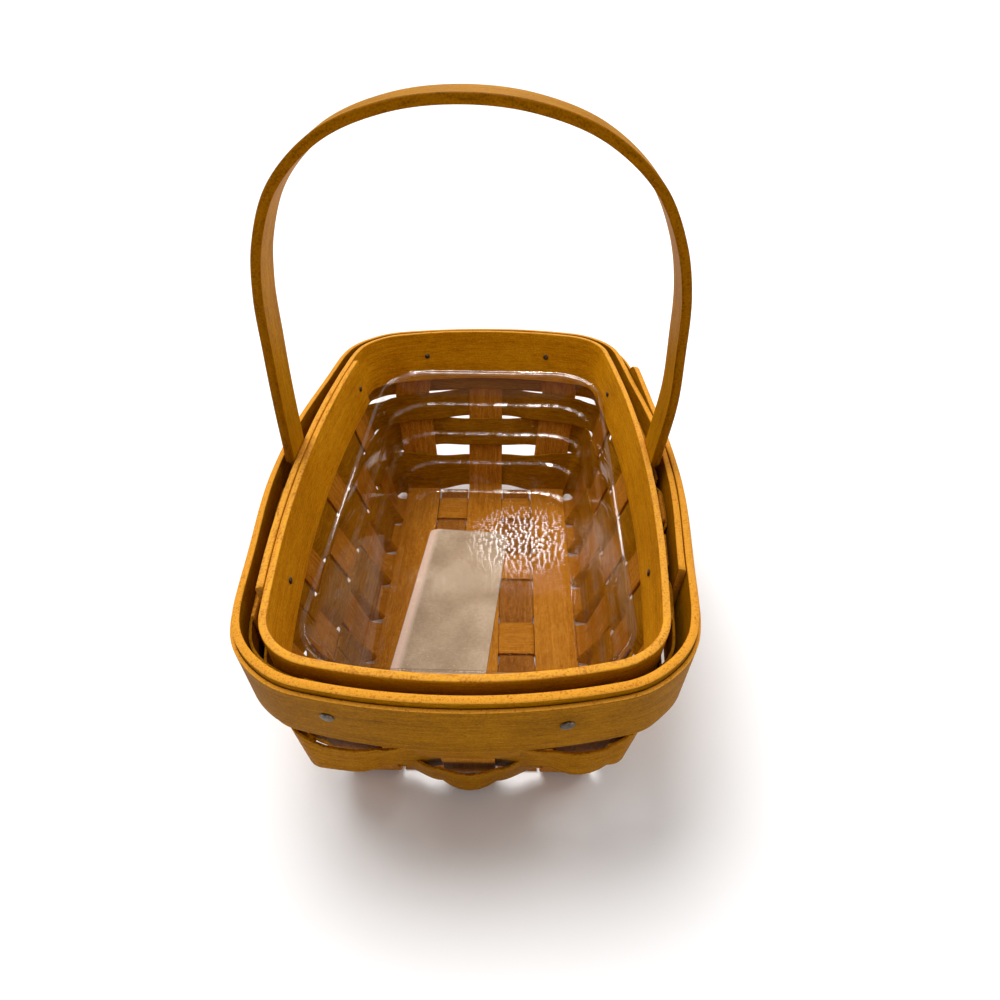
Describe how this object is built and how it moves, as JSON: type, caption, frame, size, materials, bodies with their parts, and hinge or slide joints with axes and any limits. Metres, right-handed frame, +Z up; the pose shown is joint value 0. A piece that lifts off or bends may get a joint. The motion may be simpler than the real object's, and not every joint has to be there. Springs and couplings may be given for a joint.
{
  "type": "woven basket",
  "caption": "Long woven splint basket with flared walls, tacked double rim bands, a fixed bent handle, a clear stepped liner that lifts out and a paper slip under it.",
  "frame": {"origin": "centre of the basket's underside, on the surface it stands on", "axes": "+X across the basket to its right side as seen by the camera, +Y along it to the far end, +Z up"},
  "size_m": [0.1348, 0.2102, 0.1779],
  "materials": {
    "splint_wood": "satin",
    "weaver_wood": "satin",
    "filler_wood": "satin",
    "band_wood": "satin",
    "handle_wood": "satin",
    "tack_metal": "dull",
    "liner_clear": "clear",
    "slip_paper": "matte"
  },
  "bodies": {
    "basket": {"long_splint_left": "splint_wood", "long_splint_middle": "splint_wood", "long_splint_right": "splint_wood", "cross_splint_1": "splint_wood", "cross_splint_2": "splint_wood", "cross_splint_3": "splint_wood", "cross_splint_4": "splint_wood", "cross_splint_5": "splint_wood", "cross_splint_6": "splint_wood", "cross_splint_7": "splint_wood", "floor_filler_1": "filler_wood", "floor_filler_2": "filler_wood", "weaver_row_1": "weaver_wood", "weaver_row_2": "weaver_wood", "weaver_row_3": "weaver_wood", "weaver_row_4": "weaver_wood", "weaver_row_5": "weaver_wood", "inner_band": "band_wood", "outer_band": "band_wood", "trim_band": "band_wood", "handle": "handle_wood", "tack_near_left": "tack_metal", "tack_near_right": "tack_metal", "tack_far_right": "tack_metal", "tack_far_left": "tack_metal", "tack_right_far": "tack_metal", "tack_right_near": "tack_metal", "tack_left_far": "tack_metal", "tack_left_near": "tack_metal", "paper_slip": "slip_paper"},
    "liner": {"liner": "liner_clear"}
  },
  "joints": [
    {"name": "liner_lift", "type": "slide", "parent": "basket", "child": "liner", "axis": [0, 0, 1], "range_m": [0, 0.09]}
  ]
}
